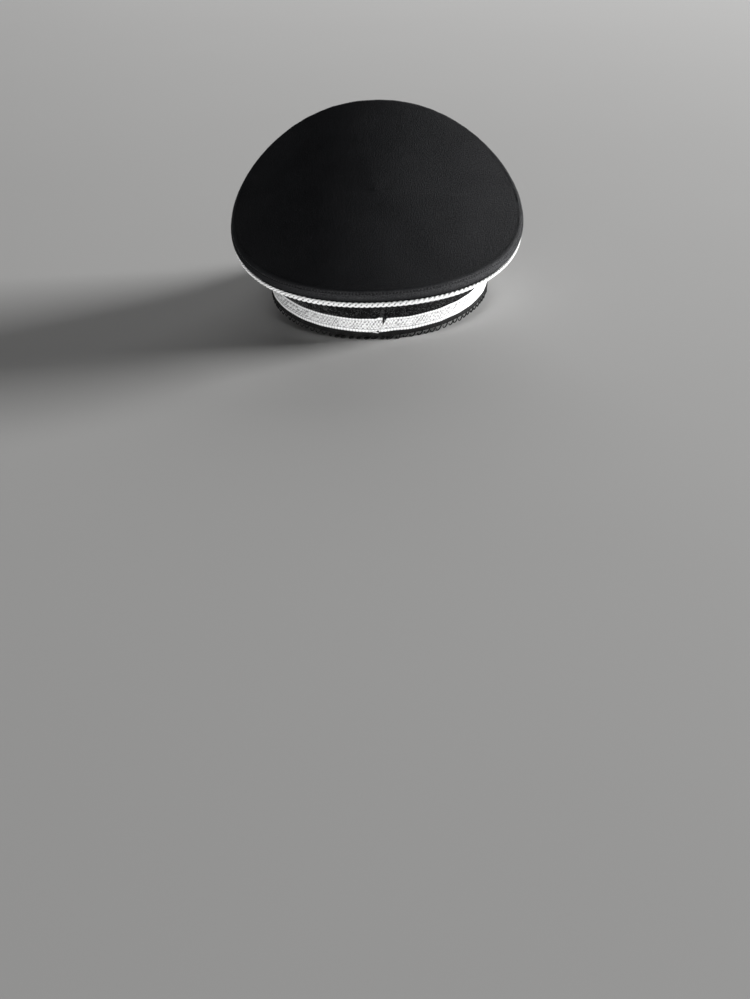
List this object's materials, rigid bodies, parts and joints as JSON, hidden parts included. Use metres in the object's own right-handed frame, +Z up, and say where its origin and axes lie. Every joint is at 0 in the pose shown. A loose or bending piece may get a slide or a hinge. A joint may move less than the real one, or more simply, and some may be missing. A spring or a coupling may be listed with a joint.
{
  "type": "peaked service cap",
  "caption": "Black cloth peaked service cap with a high front, white corded piping, a silver-white lace band, braid trim and a glossy black peak.",
  "frame": {"origin": "on the surface that the cap rests on, under the middle of its box", "axes": "+Z up, +Y towards the peak, +X to the wearer's right"},
  "size_m": [0.246, 0.2994, 0.1469],
  "materials": {
    "crown_cloth": "matt fine twill",
    "band_cloth": "brushed felt",
    "white_cord": "twisted silky cord",
    "silver_lace": "woven metallic-white ribbon",
    "black_braid": "looped braid",
    "peak_leather": "glossy patent"
  },
  "bodies": {
    "root": {"top_panel": "crown_cloth", "quarter_front": "crown_cloth", "quarter_right": "crown_cloth", "quarter_back": "crown_cloth", "quarter_left": "crown_cloth", "crown_piping": "white_cord", "band": "band_cloth", "lace_band": "silver_lace", "edge_trim": "black_braid", "peak": "peak_leather"}
  },
  "joints": []
}
